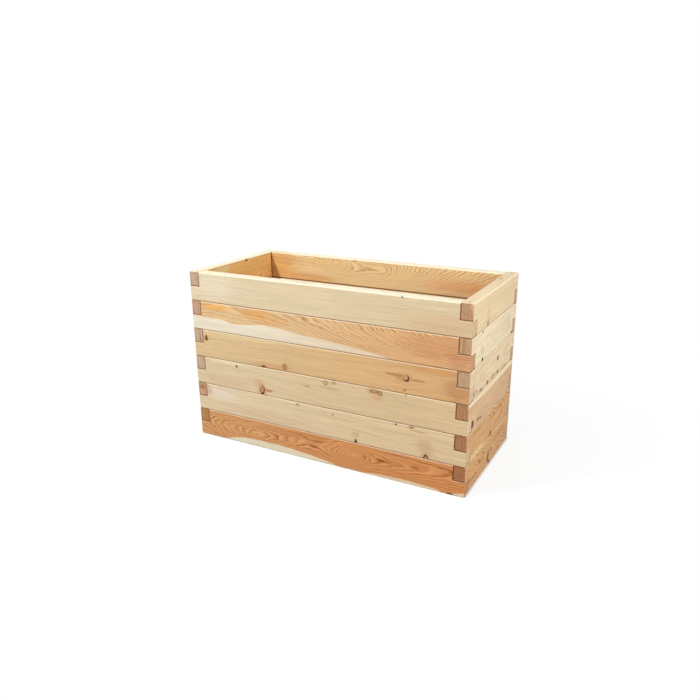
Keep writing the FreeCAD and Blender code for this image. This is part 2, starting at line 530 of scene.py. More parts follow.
inside_groove = look.product(
    look.fade(up, INSIDE_DARK - FACE_TOP, INSIDE_CLEAR - FACE_TOP),
    look.ramp(through, 0.0, INNER_FACE - INSIDE_DEPTH),
)
groove = look.most(look.fade(up, GROOVE_DARK - FACE_TOP, GROOVE_CLEAR - FACE_TOP), inside_groove)
groove = look.product(groove, given["Groove share"])
lid = look.product(look.ramp(up, FACE_TOP - LID_CLEAR, FACE_TOP - LID_DARK), given["Lid share"])
look.feed(result["Share"], look.most(finger_edge, inner_corner, groove, lid))
# The painted highlight, on the long face of a finger next to its lap.
on_finger = look.math("GREATER_THAN", past_shoulder, 0.0)
look.feed(result["Arris highlight"], look.product(look.fade(from_lap, ARRIS_NEAR, ARRIS_FAR), long_face, on_finger))
print("effect joint shade:", len(look.wiring.nodes), "nodes")

# %% [markdown]
# ## What each board remembers of its log
#
# One finish with different numbers in it is better than 24 drawings: every board then stays the same kind
# of wood. The numbers are things that a joiner could point at: the colour of the pale and the dark part of
# a ring, how wide a year is, where the pith runs, where the sapwood starts, and where the knots are.
# A line along a board is a few points, (along, height) in mm from the middle of its face.

# %% The form for a knot, a stain and a board
@dataclass
class Knot:
    """A branch end. Places and half sizes are in mm in the board's frame."""

    along: float
    height: float
    half_length: float
    half_height: float
    body: float = 0.7  # how far it hides the grain, 0 to 1
    rim: float = 0.75  # how dark its bark rim is, 0 to 1
    halo: float = 0.45
    heavy: tuple = (0.0, 0.0)  # the side on which the rim is thick, as (along, up)
    core: str = "A56F42"
    bark: str = "5A3218"
    glow: str = "C58A5A"
    through: float = 0.0
    reach: float = 90.0  # half its length through the board, which makes it a whole branch


def pin_knot(along, height, size=3.0, **details):
    """A twig's mark, which shows only in the outer face."""
    details = {"halo": 0.2, "through": OUTER_FACE, "reach": 5.0, **details}
    return Knot(along, height, size, size, **details)


@dataclass
class Stain:
    """A soft patch, drawn out along the grain. Places and half sizes are in mm."""

    along: float
    height: float
    half_length: float
    half_height: float
    tint: str
    share: float = 0.6
    through: float = OUTER_FACE
    reach: float = 16.0


@dataclass
class Board:
    """One board's wood. Lengths are in mm, and colours are paint codes."""

    early: str
    late: str
    ring: float = 3.4
    contrast: float = 0.5
    pith_height: tuple = ((-500, -150), (500, -150))
    pith_depth: tuple = ((-500, 60), (500, 60))
    wander: float = 9.0
    streak: float = 0.09  # how much the fibre's streaks lighten and darken it
    # Painted shade on the front boards: warmer and a little darker towards the right-hand end, where less
    # light falls.
    shade_drift: str = "FFFFFF"  # what the colour is multiplied by at the right-hand end
    end: str = "BDA184"  # its sawn ends
    sap_border: tuple = ()
    sap_side: int = -1  # 1 where the sapwood is above its border, -1 where it is below
    sap_slant: float = 0.45  # how far the border climbs for each mm in through the thickness
    sap: str = "EADFC8"
    sap_late: str = "DCCBA4"
    quiet_below: tuple = ()  # a line under which the figure is faint
    knots: tuple = ()
    stains: tuple = ()


SMALL_RING = {"body": 0.15, "rim": 1.0, "halo": 0.4, "bark": "6A3E1C", "glow": "C8A070"}
OPEN_RING = {"body": 0.25, "rim": 1.0, "halo": 0.1, "bark": "5E4426", "core": "C8AE86"}
print("forms ready")

# %% The front wall, upper boards
front_boards = {
    6: Board("DECCAB", "BEA678", ring=3.6, contrast=0.7, wander=7.0, shade_drift="FFFCF8", end="CCB08E",
             pith_height=((-500, -180), (500, -150)),
             knots=(pin_knot(286, 48, 3.5, body=1.0, rim=1.0, core="3A3018", bark="2E2410"),),
             stains=(Stain(420, -20, 190, 40, "D2A880", 0.4), Stain(-400, 10, 120, 60, "E6DAC4", 0.6),
                     # Painted highlight: the top face and its upper edge are paled and cooled for the light
                     # from above.
                     Stain(0, 50, 2000, 4, "E0D6BE", 0.9, through=0, reach=80))),
    5: Board("E0C294", "B46E3A", ring=4.4, contrast=0.85, shade_drift="FFECE0", end="BD9574",
             pith_height=((-500, 62), (500, 55)),
             pith_depth=((-500, 118), (-200, 116), (0, 100), (130, 79), (260, 52), (380, 28), (500, 18)),
             sap_border=((-500, -4), (-430, -5), (-375, -5), (-330, -14), (-280, -11), (-190, -1), (-125, -6),
                         (-50, -15), (50, -22), (150, -32), (225, -42), (270, -52), (400, -75)),
             sap="E7DEC7", sap_late="D8C8A4",
             stains=(Stain(-400, 36, 80, 16, "E8AA58", 0.75), Stain(-235, 32, 75, 24, "E4A258", 0.7),
                     Stain(-180, 14, 90, 24, "DEAE74", 0.6),
                     Stain(400, 10, 150, 60, "D0966A", 0.6), Stain(470, -20, 50, 40, "C88A68", 0.5))),
    4: Board("DDC194", "B88448", ring=4.0, contrast=0.6, streak=0.11, shade_drift="FFECDC", end="D3BE9F",
             pith_height=((-500, -190), (500, -150)),
             knots=(Knot(-449, 21, 6.5, 9, body=0.9, rim=1.0, halo=0.3, core="8A5A34", bark="54301A"),
                    Knot(-211, -46, 8, 5, body=0.9, rim=0.8, halo=0.9, core="8E5230", glow="CC8E62"),
                    Knot(-127, -34, 7, 10, body=0.4, rim=0.9, halo=0.5, bark="6A3E20"),
                    Knot(305, 1, 9, 11, body=0.6, rim=1.0, halo=0.5, heavy=(0.9, -0.7), core="DDAE78",
                         bark="34180A"),
                    pin_knot(300, -38, 3.5, rim=0.8)),
             stains=(Stain(270, 6, 46, 6, "9A6430", 0.65), Stain(338, -1, 34, 5, "A06C3A", 0.6),
                     Stain(285, 0, 20, 16, "B8925C", 0.5), Stain(-250, 42, 260, 7, "E6CFA2", 0.7),
                     Stain(400, 38, 130, 16, "CE9054", 0.5), Stain(-170, -42, 120, 14, "C89668", 0.5),
                     Stain(470, -12, 60, 50, "C0845C", 0.6))),
}
print("front boards so far:", sorted(front_boards))

# %% The front wall, lower boards
front_boards.update({
    3: Board("E0CCA8", "BA925C", ring=3.6, contrast=0.75, streak=0.11, shade_drift="FFF6EC", end="DABC9E",
             pith_height=((-500, 200), (500, 160)),
             knots=(pin_knot(-325, 36, 4.0, rim=1.0, body=1.0, core="6E4E2A"),
                    Knot(-222, -31, 10, 16, body=0.5, rim=1.0, halo=0.8, heavy=(0.5, -0.5), core="C08C66",
                         bark="32180C", glow="CC8E66"),
                    Knot(26, 37, 7.5, 7, **SMALL_RING), Knot(56, 44, 7, 6.5, **SMALL_RING),
                    Knot(198, 40, 13, 6, body=0.3, rim=0.7, halo=0.2, bark="7A4A26", core="B88450"),
                    Knot(219, 37, 8, 7, body=0.4, rim=0.9, halo=0.2, bark="6A3C1C", core="B07A48"),
                    pin_knot(304, 47, rim=1.0), Knot(-50, 14, 16, 3, body=0.1, rim=0.4, halo=0.1)),
             stains=(Stain(-196, -30, 26, 6, "B4704A", 0.8), Stain(-235, -8, 30, 16, "D8A880", 0.5),
                     Stain(198, 40, 32, 14, "BC8A58", 0.6), Stain(210, 20, 30, 10, "DCA684", 0.6),
                     Stain(40, 22, 50, 8, "C8A678", 0.5), Stain(-350, 42, 130, 9, "ECDDB8", 0.75),
                     Stain(-380, -30, 130, 30, "DCBA9A", 0.5))),
    2: Board("E6D1AF", "B48C58", ring=3.4, contrast=0.75, streak=0.13, shade_drift="FFF8EE", end="D3B38A",
             pith_height=((-500, -160), (500, -190)),
             knots=(pin_knot(51, 32, rim=1.0), pin_knot(274, 46, 3.5, rim=1.0, body=1.0, core="6E4A28"),
                    pin_knot(-82, 42, 4.0, rim=0.5),
                    Knot(325, 46, 8, 4, rim=0.5, halo=0.3, core="8E6C3E"),
                    Knot(134, -45, 4, 9, body=0.95, rim=1.0, halo=0.5, core="6A4424", bark="4A2A14",
                         glow="B89A62"),
                    Knot(374, -50, 9, 15, body=0.35, rim=1.0, heavy=(-0.3, 0.7), halo=0.6, core="CC926C",
                         bark="40200E", glow="B88E68")),
             stains=(Stain(370, -12, 36, 34, "C49A72", 0.4), Stain(-400, 20, 90, 30, "F0E4D0", 0.7),
                     Stain(-452, 26, 16, 22, "CC9C74", 0.45),
                     Stain(345, 36, 45, 3, "A88050", 0.6), Stain(-200, -30, 260, 22, "DABA96", 0.4),
                     Stain(134, -20, 18, 16, "C4B084", 0.6))),
    1: Board("DCA46E", "9A5424", ring=3.9, contrast=1.0, wander=8.0, shade_drift="FFEADC", end="BE8D64",
             pith_height=((-500, 4), (-250, 2), (-60, 12), (127, 8), (300, 12), (500, 14)),
             pith_depth=((-500, 62), (-400, 46), (-310, 34), (-250, 28), (-185, 34), (-110, 40), (0, 44),
                         (90, 30), (127, 6), (165, 28), (190, 34), (250, 37), (330, 40), (400, 43),
                         (500, 48)),
             sap_border=((-500, -62), (-410, -52), (-325, -31), (-275, -26), (-190, -25), (-130, -26),
                         (-50, -32), (25, -40), (100, -52), (150, -50), (200, -43), (350, -40), (415, -45),
                         (445, -53), (475, -43), (500, -36)),
             sap="ECE4CA", sap_late="E0CCA0",
             knots=(Knot(455, -49, 11, 4.5, body=1.0, rim=1.0, halo=0.4, core="3E2414", bark="2A180C"),),
             stains=(Stain(235, 9, 42, 6, "9C5526", 0.8), Stain(165, 8, 12, 8, "A8642F", 0.5),
                     Stain(340, 12, 22, 8, "A45E2C", 0.6), Stain(-100, 30, 160, 14, "C07A4C", 0.4))),
})
print("front boards:", len(front_boards), "with", sum(len(b.knots) for b in front_boards.values()), "knots")

# %% The right wall
FLAT_SAWN = {"pith_height": ((-230, -12), (230, 18)), "pith_depth": ((-230, 150), (230, 132))}

right_boards = {
    6: Board("D6C19C", "B89A6A", ring=4.2, contrast=0.4, end="C19873", pith_height=((-230, -75), (230, -60)),
             pith_depth=((-230, 64), (230, 80)),
             knots=(Knot(-90, -41, 8, 9, body=0.8, rim=0.4, halo=0.2, core="A2603A", bark="8A4E2E"),
                    Knot(121, 50, 14, 3, body=1.0, rim=0.4, halo=0.3, through=8, reach=5, core="B88E40",
                         bark="8E6A2C")),
             stains=(Stain(-88, -12, 18, 30, "D8AC7C", 0.7), Stain(-234, 40, 14, 14, "DAB292", 0.8))),
    5: Board("DBCBAC", "C2AA7C", ring=4.0, contrast=0.4, end="C9A07A", **FLAT_SAWN,
             knots=(pin_knot(-134, 45, 4.5, rim=0.9, body=1.0, core="7A5A3A"),
                    Knot(-126, -43, 8, 6, body=1.0, rim=1.0, halo=0.1, core="3E2E10", bark="2E220A"),
                    Knot(193, -44, 8, 6, body=1.0, rim=0.5, halo=0.2, core="6A6434", bark="54501E")),
             stains=(Stain(-130, -14, 18, 24, "C0B288", 0.6), Stain(145, 0, 24, 26, "C4B58C", 0.6),
                     Stain(-234, 25, 9, 40, "8E7E52", 0.5, through=4, reach=6))),
    4: Board("D7C1A0", "BC9A70", ring=3.8, contrast=0.5, end="C6A482", **FLAT_SAWN,
             knots=(Knot(45, 10, 8, 9, body=1.0, rim=1.0, halo=0.2, core="604618", bark="40300E"),
                    Knot(-181, -30, 15, 8, **OPEN_RING),
                    Knot(-122, -40, 15, 4, body=0.9, rim=0.6, core="7E5C3A"),
                    Knot(-59, -38, 8, 6, body=1.0, rim=1.0, core="5E4222", bark="4A321A"),
                    Knot(0, -37, 17, 7, **OPEN_RING), Knot(50, -38, 8, 6, body=1.0, rim=1.0, core="5E4222"),
                    Knot(118, -43, 26, 5, **OPEN_RING)),
             stains=(Stain(20, -38, 190, 9, "C2A47C", 0.5),)),
    3: Board("C9A783", "AC7E58", ring=3.8, contrast=0.35, end="B98A62", **FLAT_SAWN,
             sap_border=((-230, 33), (-60, 30), (230, 34)), sap_side=1, sap="E2CEA8", sap_late="D5BA86",
             knots=(Knot(-190, -27, 14, 13, body=1.0, rim=1.0, halo=0.1, core="6E4626", bark="4A2C14"),
                    Knot(-135, -30, 10, 5, body=0.9, rim=0.7, halo=0.3, core="7A5230"),
                    Knot(-110, -35, 8, 4, body=0.9, rim=0.7, halo=0.3, core="7A5230")),
             stains=(Stain(-196, -22, 36, 30, "D8B49A", 0.8),)),
    2: Board("CCA071", "7E4C1C", ring=6.6, contrast=1.0, wander=10.0, end="B3825E",
             pith_height=((-230, -20), (-75, 2), (60, 8), (230, 6)),
             pith_depth=((-230, 84), (-140, 46), (-75, 10), (-20, 34), (40, 54), (130, 62), (230, 84)),
             knots=(Knot(11, -40, 11, 11, body=0.9, rim=0.8, halo=0.6, core="8E5A2A", bark="55331A"),),
             stains=(Stain(-130, -42, 100, 10, "E6CE9C", 0.9), Stain(60, 22, 90, 12, "B87C48", 0.5),
                     Stain(-150, 34, 80, 14, "B48050", 0.5))),
    1: Board("C89C6C", "8A5628", ring=5.4, contrast=0.85, wander=18.0, end="B17A53",
             pith_height=((-230, 60), (230, -70)), pith_depth=((-230, 40), (230, 70)),
             knots=(Knot(-97, 10, 12, 5, body=0.8, rim=0.5, core="8A5428"),
                    Knot(0, -20, 8, 20, body=0.9, rim=0.9, halo=0.5, core="8A5228", bark="5A3014"),
                    pin_knot(16, -44, 7.0, body=1.0, rim=1.0, core="2A160A", bark="1E1008")),
             stains=(Stain(120, 20, 90, 4, "855022", 0.8), Stain(50, -16, 24, 20, "C89880", 0.7),
                     Stain(200, -22, 30, 36, "B48C4C", 0.7), Stain(-160, -20, 80, 5, "8A552A", 0.7))),
}
print("right boards:", len(right_boards), "with", sum(len(b.knots) for b in right_boards.values()), "knots")

# %% The back wall
back_boards = {
    6: Board("DEBD8B", "A8682C", ring=3.6, contrast=0.85, wander=7.0,
             pith_height=((-500, 80), (-280, 62), (-150, 46), (-90, 36), (-60, 28), (-28, 22), (45, 21),
                          (90, 24), (130, 30), (165, 36), (190, 42), (243, 54), (345, 60), (500, 64)),
             pith_depth=((-500, 170), (-280, 142), (-150, 120), (-90, 106), (-60, 97), (-40, 92), (-25, 90),
                         (47, 88), (100, 86), (130, 81), (150, 74), (170, 71), (190, 73), (215, 79),
                         (243, 84), (345, 86), (500, 92)),
             sap_border=((-500, 38), (500, 40)), sap_side=1, sap_slant=0.22, sap="E4D7B9", sap_late="D2BE92",
             quiet_below=((-500, -12), (-280, -10), (-105, -3), (12, 2), (150, 0), (345, 10), (500, 24)),
             knots=(Knot(92, 47, 3.5, 2.5, body=1.0, rim=1.0, core="4A2A14", bark="3A2010",
                         through=INNER_FACE, reach=6),),
             stains=(Stain(-340, -14, 190, 30, "DC9C66", 0.65, through=INNER_FACE, reach=30),
                     # Darker, warmer wood at the left-hand inside corner: partly the board's own tone, partly
                     # painted shade round the wedge of shadow that the left wall casts there.
                     Stain(440, 0, 120, 90, "CE9852", 0.75, through=INNER_FACE, reach=30),
                     Stain(300, -34, 150, 22, "D69A5C", 0.7, through=INNER_FACE, reach=30),
                     Stain(90, 26, 24, 18, "DEC294", 0.6, through=INNER_FACE, reach=20))),
    5: Board("E0CAA2", "C09C66", pith_height=((-500, 170), (500, 150)),
             knots=(Knot(-180, 12, 9, 8, rim=0.9), Knot(260, -30, 6, 5))),
    4: Board("DEBD8E", "B88048", ring=4.0, contrast=0.6, pith_height=((-500, 10), (0, -6), (500, 20)),
             pith_depth=((-500, 40), (-150, 62), (100, 40), (500, 80)),
             knots=(Knot(120, -20, 11, 9, rim=0.7),)),
    3: Board("DFC8A2", "BE9864", ring=3.2, pith_height=((-500, -150), (500, -180)),
             knots=(pin_knot(-330, 28, 5.0), Knot(40, -8, 10, 12, rim=1.0), pin_knot(390, 20, 4.0))),
    2: Board("D6A472", "A6642F", ring=4.4, contrast=0.85, pith_height=((-500, -8), (0, 6), (500, -14)),
             pith_depth=((-500, 70), (-300, 40), (-90, 20), (120, 52), (300, 34), (500, 60)),
             sap_border=((-500, -30), (-200, -44), (0, -60), (260, -46), (500, -26))),
    1: Board("D9AE80", "B27A46", ring=3.8, contrast=0.6, pith_height=((-500, 130), (500, 110)),
             knots=(Knot(-60, -20, 12, 10, rim=0.9), Knot(300, 30, 6, 5))),
}
print("back boards:", len(back_boards), "with", sum(len(b.knots) for b in back_boards.values()), "knots")

# %% The left wall
left_boards = {
    6: Board("E6B470", "A8641E", ring=6.0, contrast=0.7, wander=16.0, end="C1A68C",
             pith_height=((-230, -36), (230, -92)), pith_depth=((-230, 96), (230, 110)),
             sap_border=((-230, 28), (230, 34)), sap_side=1, sap_slant=0.55, sap="E5DBC0", sap_late="D2C29C",
             knots=(Knot(-36, 47, 7, 5, body=1.0, rim=1.0, core="4A3018", bark="2E1C0C", through=INNER_FACE,
                         reach=9),),
             stains=(Stain(105, 36, 55, 18, "E2CC94", 0.9, through=INNER_FACE, reach=25),
                     # Painted shade: a thin dark line just under the inner top edge.
                     Stain(0, 48, 600, 3, "8A5A30", 0.5, through=INNER_FACE, reach=5),
                     Stain(-190, -20, 60, 50, "DDA468", 0.6, through=INNER_FACE, reach=25))),
    5: Board("EAD4B4", "D0AE80", ring=3.6, contrast=0.4, end="C59E81", **FLAT_SAWN),
    4: Board("E7D9BA", "CAAA78", ring=3.8, contrast=0.4, end="C6A98B", **FLAT_SAWN,
             knots=(Knot(90, -18, 10, 8, rim=0.8),),
             stains=(Stain(235, 26, 12, 24, "DEC4A6", 0.8, through=11, reach=5),
                     Stain(235, 24, 12, 27, "7E5434", 0.8, through=6, reach=1.8),
                     Stain(235, 24, 12, 27, "7E5434", 0.8, through=16.5, reach=1.6),
                     Stain(235, 12, 12, 3.5, "6E4228", 0.9, through=6, reach=6))),
    3: Board("E8DBC2", "C8AC82", contrast=0.5, end="C8AC91", pith_height=((-230, 160), (230, 150)),
             knots=(Knot(-120, 10, 6, 6), Knot(60, -30, 9, 7, rim=0.9)),
             stains=(Stain(235, 40, 12, 9, "D8B69C", 0.7, through=-6, reach=12),)),
    2: Board("D8BE9A", "B07E4C", ring=4.2, contrast=0.7, end="C9A17D", pith_height=((-230, 12), (230, -6)),
             pith_depth=((-230, 30), (60, 56), (230, 24)), sap_border=((-230, 60), (230, 62)), sap_side=1,
             sap_slant=-0.6, sap="EADCC4",
             stains=(Stain(235, 12, 12, 10, "DCC0A0", 0.8, through=-8, reach=8),
                     Stain(235, 34, 12, 12, "8E5C3C", 0.6, through=-2, reach=14))),
    1: Board("D2AE80", "A6703C", ring=3.6, contrast=0.6, end="BC8A5D",
             pith_height=((-230, -120), (230, -140)),
             knots=(Knot(40, 16, 9, 8, rim=0.7),)),
}
walls = {"front": front_boards, "right": right_boards, "back": back_boards, "left": left_boards}
print("boards described:", sum(len(boards) for boards in walls.values()))

# %% [markdown]
# ## Putting a log into each board
#
# The finish reads in the order in which wood comes about. First the point is carried round the knots, then
# the rings are worked out there. Then the colour is laid on in stages: the flat colours of heart, sapwood
# and sawn ends, the stains, the figure of rings, fibre and saw marks, the knots, and last the edges and
# joints. Height for the bump comes from the same masks, since latewood stands a hair proud after planing.
# Each stage is a small function, so that the last one reads like a list.

# %% A line along the board, and the grain round its knots
LINE_REACH = 200.0  # mm: the largest height or depth that a line can hold


def line_along(look, along, half_length, points):
    """The height in mm of a line through the points, at each place along the board."""
    share = look.ramp(along, -half_length, half_length, shape="LINEAR")
    curve = look.node("ShaderNodeFloatCurve", {"Value": share})
    line = curve.mapping.curves[0]
    places = [((x / half_length + 1) / 2, (y / LINE_REACH + 1) / 2) for x, y in points]
    line.points[0].location = places[0]
    line.points[1].location = places[-1]
    for place in places[1:-1]:
        line.points.new(*place)
    curve.mapping.update()
    return look.between(curve.outputs[0], -LINE_REACH, LINE_REACH)


def spot(patch):
    """Where a knot or stain sits and how large it is, as an effect wants them."""
    return {"Place": (patch.along, patch.through, patch.height),
            "Size": (patch.half_length, patch.reach, patch.half_height)}


def carried_round_knots(look, point, knots):
    """The point from which to read the grain."""
    lift = 0.0
    for knot in knots:
        this_lift = look.effect("grain round a knot", {"Point": point, **spot(knot)})["Lift"]
        lift = look.math("ADD", this_lift, lift)
    return look.vector("ADD", point, look.join(0, 0, lift))


print("line and flow ready")

# %% The flat colours of heart, sap and sawn ends
END_LINE_TINT = paint("7E583C")
END_LINE_SHARE, SAP_LINE_SHARE = 0.8, 0.3
QUIET_SHARE = 0.2  # of the figure that is left below a board's quiet line
QUIET_SOFTNESS = 9.0  # mm, half the width of the change
SHADE_DRIFT_REACH = 0.9  # of the half length: where the drift of colour along a board starts and ends


def line_tint(early, late):
    """What the dark line of a ring multiplies the pale wood by."""
    return tuple(dark / pale for dark, pale in zip(paint(late), paint(early)))


def plain_wood(look, board, along, half_length, grain_point, ends):
    """The flat colour, and the tint and share of the ring lines that are drawn over it."""
    colour, tint, share = paint(board.early), line_tint(board.early, board.late), board.contrast
    if board.sap_border:
        border = line_along(look, along, half_length, board.sap_border)
        sap = look.effect("sapwood", {
            "Point": grain_point, "Border height": border, "Slant": board.sap_slant,
            "Side": float(board.sap_side)})["Share"]
        colour = look.mix(sap, colour, paint(board.sap))
        tint = look.mix(sap, tint, line_tint(board.sap, board.sap_late))
        share = look.between(sap, share, SAP_LINE_SHARE)
    if board.quiet_below:
        quiet_line = line_along(look, along, half_length, board.quiet_below)
        above = look.math("SUBTRACT", look.split(grain_point)[2], quiet_line)
        share = look.product(share, look.ramp(above, -QUIET_SOFTNESS, QUIET_SOFTNESS, QUIET_SHARE, 1.0))
    # The painted shade towards the right-hand end.
    shade_drift_share = look.ramp(along, -SHADE_DRIFT_REACH * half_length, SHADE_DRIFT_REACH * half_length)
    colour = look.mix(shade_drift_share, colour, look.mix(1.0, colour, paint(board.shade_drift), blend="MULTIPLY"))
    colour = look.mix(ends["Share"], colour, paint(board.end))
    tint = look.mix(ends["Share"], tint, END_LINE_TINT)
    return colour, tint, look.between(ends["Share"], share, END_LINE_SHARE)


def with_stains(look, colour, point, stains):
    """The colour after the board's stains, which run straight on past the knots."""
    for stain in stains:
        colour = look.effect("stain", {
            "Color": colour, "Point": point, "Tint": paint(stain.tint),
            "Stain share": stain.share, **spot(stain)})["Color"]
    return colour


print("flat colours ready")

# %% The figure, and the knots
STREAK_SPAN, TONE_SPAN = (0.25, 0.75), (0.3, 0.7)
CLOUD_TONES = (0.965, 1.03)  # how bright the wood is in the valleys and on the hills of the slow clouds
BAND_TONES = (0.97, 1.02)  # the same for a band of years
SPRING_GAIN = 0.22  # how much paler the spring line is than its year, where the lines are strongest
SAW_GAIN = 0.8
DUCT_BROWN, DUCT_SHARE = paint("9A6A40"), 0.25


def with_figure(look, colour, tint, share, board, rings, fibre, ends):
    """The colour after the rings' lines, the fibre's streaks and the marks of the saw."""
    colour = look.mix(look.product(rings["Latewood"], share), colour, tint, blend="MULTIPLY")
    saw_marks = look.product(look.math("SUBTRACT", ends["Saw"], CLOUD_MIDDLE), ends["Share"], SAW_GAIN)
    value = look.product(
        look.ramp(fibre["Streak"], *STREAK_SPAN, 1.0 - board.streak, 1.0 + board.streak, shape="LINEAR"),
        look.ramp(fibre["Cloud"], *TONE_SPAN, *CLOUD_TONES),
        look.ramp(rings["Tone"], *TONE_SPAN, *BAND_TONES),
        look.math("MULTIPLY_ADD", look.product(rings["Spring"], share), SPRING_GAIN, 1.0),
        look.math("ADD", saw_marks, 1.0),
    )
    colour = look.node("ShaderNodeHueSaturation", {"Color": colour, "Value": value}).outputs[0]
    return look.mix(look.product(fibre["Duct"], DUCT_SHARE), colour, DUCT_BROWN)


def with_knots(look, colour, point, knots):
    """The colour after the board's knots, and the mask of where they are."""
    mask = 0.0
    for knot in knots:
        painted = look.effect("knot", {
            "Color": colour, "Point": point, **spot(knot), "Heavy side": (knot.heavy[0], 0, knot.heavy[1]),
            "Core": paint(knot.core), "Bark": paint(knot.bark), "Halo": paint(knot.glow),
            "Body share": knot.body, "Rim share": knot.rim, "Halo share": knot.halo, "Mask": mask})
        colour, mask = painted["Color"], painted["Mask"]
    return colour, mask


print("figure and knots ready")

# %% The edges and joints
# Freshly planed pale wood on the eased edges, which is also the painted highlight on the upper edges and the
# arrises.
EDGE_PALE_AND_HIGHLIGHT, ARRIS_HIGHLIGHT_SHARE = paint("FFF3DA"), 0.3
NICK_BROWN, NICK_SHARE = paint("8A6038"), 0.35
# Painted shade in the joints, multiplied onto the wood.
JOINT_SHADE_TINT = paint("9A6E44")  # multiplies the wood in the grooves
# Shares of that painted shade in each wall's grooves, under the upper edges and round the fingers.
GROOVE_SHARE = {"front": 0.95, "back": 0.95, "left": 0.8, "right": 0.6}
LID_SHARE = {"front": 0.35, "back": 0.35, "left": 0.35, "right": 0.5}
FINGER_SHARE = {"front": 0.3, "back": 0.3, "left": 0.9, "right": 0.9}


def with_edges_and_joints(look, colour, edge, joint):
    """The colour after the eased edges, with their paleness and painted highlight, the painted highlight on
    the arrises at the laps and the painted shade in the joints.
    """
    colour = look.mix(edge["Pale and highlight"], colour, EDGE_PALE_AND_HIGHLIGHT)
    colour = look.mix(look.product(edge["Nick"], NICK_SHARE), colour, NICK_BROWN)
    colour = look.mix(look.product(joint["Arris highlight"], ARRIS_HIGHLIGHT_SHARE), colour, EDGE_PALE_AND_HIGHLIGHT)
    return look.mix(joint["Share"], colour, JOINT_SHADE_TINT, blend="MULTIPLY")


print("groove shares:", GROOVE_SHARE)

# %% [markdown]
# Colour alone would look printed on. Planed softwood is dull, and duller still on a sawn end, while a knot
# is hard and takes a slight polish. A bump of a fraction of a millimetre, raised and lowered by the masks
# that the colour used, lets the light from the side find the same lines.

# %% Roughness and relief
EARLY_ROUGHNESS, LATE_ROUGHNESS = 0.64, 0.56
END_ROUGHER, KNOT_SMOOTHER = 0.22, 0.1
BUMP_HEIGHT = 0.0003  # metres
LATE_RISE, STREAK_RISE, SAW_RISE, DUCT_DIP = 0.35, 0.4, 0.8, 0.3  # in bump heights


def timber_roughness(look, rings, ends, knot_mask):
    """How dull the wood is."""
    roughness = look.between(rings["Latewood"], EARLY_ROUGHNESS, LATE_ROUGHNESS)
    roughness = look.math("MULTIPLY_ADD", ends["Share"], END_ROUGHER, roughness)
    return look.math("MULTIPLY_ADD", knot_mask, -KNOT_SMOOTHER, roughness)


def timber_relief(look, rings, fibre, ends):
    """How high the wood's surface stands, counted in bump heights."""
    height = look.product(fibre["Streak"], STREAK_RISE)
    height = look.math("MULTIPLY_ADD", rings["Latewood"], LATE_RISE, height)
    height = look.math("MULTIPLY_ADD", fibre["Duct"], -DUCT_DIP, height)
    return look.math("MULTIPLY_ADD", look.product(ends["Saw"], ends["Share"]), SAW_RISE, height)


def set_surface(look, relief, bump_strength, values):
    """Ends a material with its bump, its surface shader and its output."""
    bump = look.node(
        "ShaderNodeBump", {"Height": relief, "Strength": bump_strength, "Distance": BUMP_HEIGHT}
    )
    surface = look.node("ShaderNodeBsdfPrincipled", {**values, "Normal": bump.outputs[0]})
    look.node("ShaderNodeOutputMaterial", {"Surface": surface.outputs[0]})


print("bump height in mm:", BUMP_HEIGHT * MM)

# %% The timber finish
COURSES = 6
WALL_TURN = {"front": 0.0, "right": 90.0, "back": 180.0, "left": 270.0}  # degrees about Z
LONG_WALLS = ("front", "back")  # their boards are sawn away in the upper half of each end
END_INSET = 0.5  # mm: how far a board's end stays inside the face that it shows in
SHOULDER_GAP = 0.5  # mm between a finger's side and the shoulder beside it
TIMBER_BUMP = 0.5
BARE_WOOD_SHINE = 0.1  # well under a varnished board's 0.5


def blank_finish(owner):
    """Empties the finish of a material or of the world, and returns a writer for a new one."""
    owner.use_nodes = True
    owner.node_tree.nodes.clear()
    return Finish(owner.node_tree)


def board_frame(look, middle, turn):
    """A point in the board's own frame, in mm, and the outward direction of the surface there."""
    place = look.node("ShaderNodeTexCoord").outputs
    values = {"Vector": place["Object"], "Location": middle, "Rotation": (0, 0, turn),
              "Scale": (1 / MM,) * 3}
    return look.node("ShaderNodeMapping", values, vector_type="TEXTURE").outputs[0], place["Normal"]


